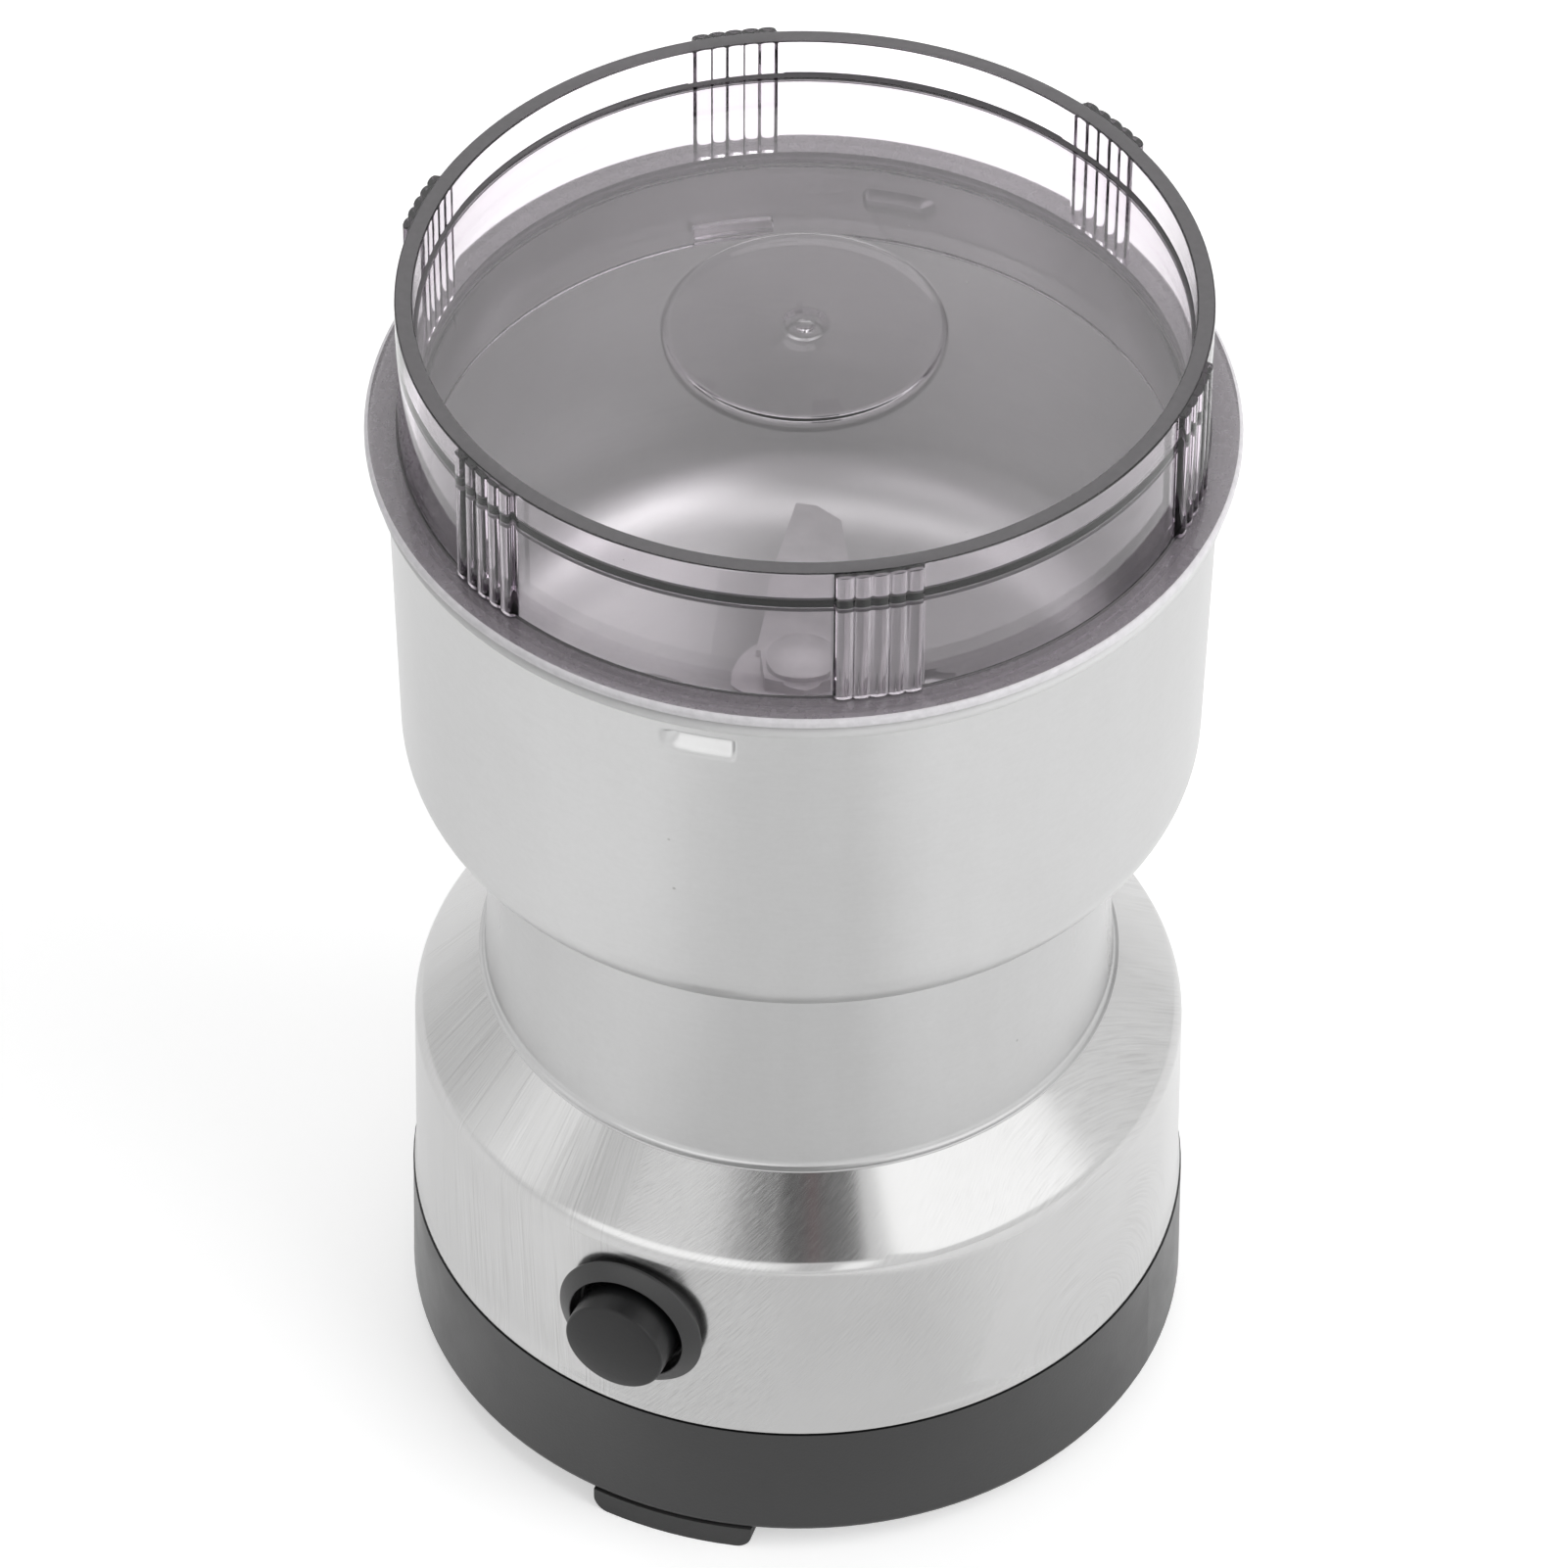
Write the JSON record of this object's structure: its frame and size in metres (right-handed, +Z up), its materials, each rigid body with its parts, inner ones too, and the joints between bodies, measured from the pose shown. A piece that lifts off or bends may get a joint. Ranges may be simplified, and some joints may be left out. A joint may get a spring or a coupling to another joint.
{
  "type": "electric spice grinder",
  "caption": "Upright spice grinder with a steel bowl over a necked steel base, a clear twist-off lid, a side push button and a motor-driven two-winged blade.",
  "frame": {"origin": "on the table under the middle of the object, at the bottom of its foot pads", "axes": "+Z up along the motor shaft and the bowl's axis; the button faces -Y and the cord inlet faces +Y"},
  "size_m": [0.1018, 0.1061, 0.1622],
  "materials": {
    "brushed_steel": "brushed",
    "dark_plastic": "fine matte grain",
    "button_plastic": "satin",
    "foot_rubber": "matte",
    "clear_plastic": "polished, clear with a faint violet tint",
    "frame_plastic": "moulded",
    "plain_steel": "zinc plated",
    "blade_steel": "polished",
    "lamination_iron": "stacked sheets",
    "copper": "enamelled wire",
    "brass": "satin",
    "carbon": "pressed graphite",
    "seal_rubber": "matte"
  },
  "bodies": {
    "housing": {"foot_pads": "foot_rubber", "base_pan": "dark_plastic", "base_screws": "plain_steel", "cord_grommet": "foot_rubber", "base_shell": "brushed_steel", "neck_sleeve": "brushed_steel", "motor_frame": "frame_plastic", "bowl": "brushed_steel", "bowl_screws": "plain_steel", "shaft_collar": "dark_plastic", "shaft_seal": "seal_rubber", "upper_bracket": "plain_steel", "lower_bracket": "plain_steel", "bracket_screws": "plain_steel", "upper_bearing": "brass", "lower_bearing": "brass", "stator_core": "lamination_iron", "field_coils": "copper", "brush_holders": "brass", "carbon_brushes": "carbon", "brush_springs": "plain_steel", "switch_housing": "button_plastic", "switch_nut": "button_plastic", "switch_terminals": "brass", "button_spring": "plain_steel"},
    "button": {"button_cap": "button_plastic", "contact_bridge": "copper"},
    "rotor": {"rotor_shaft": "plain_steel", "armature_core": "lamination_iron", "armature_windings": "copper", "commutator": "copper", "cooling_fan": "frame_plastic", "blade_hub": "dark_plastic", "blade": "blade_steel", "blade_nut": "blade_steel"},
    "seal": {"lid_seal": "clear_plastic"},
    "lid": {"lid": "clear_plastic"}
  },
  "joints": [
    {"name": "button_press", "type": "slide", "parent": "housing", "child": "button", "axis": [0, 1, 0], "range_m": [0, 0.003], "stiffness_N_per_m": 250, "deforming": ["button_spring"]},
    {"name": "rotor_spin", "type": "hinge", "parent": "housing", "child": "rotor", "pos_m": [0, 0, 0.06], "axis": [0, 0, 1], "continuous": true},
    {"name": "lid_lift", "type": "slide", "parent": "housing", "child": "seal", "axis": [0, 0, 1], "range_m": [0, 0.06]},
    {"name": "lid_turn", "type": "hinge", "parent": "seal", "child": "lid", "pos_m": [0, 0, 0.15], "axis": [0, 0, 1], "range_deg": [-25, 0]}
  ]
}
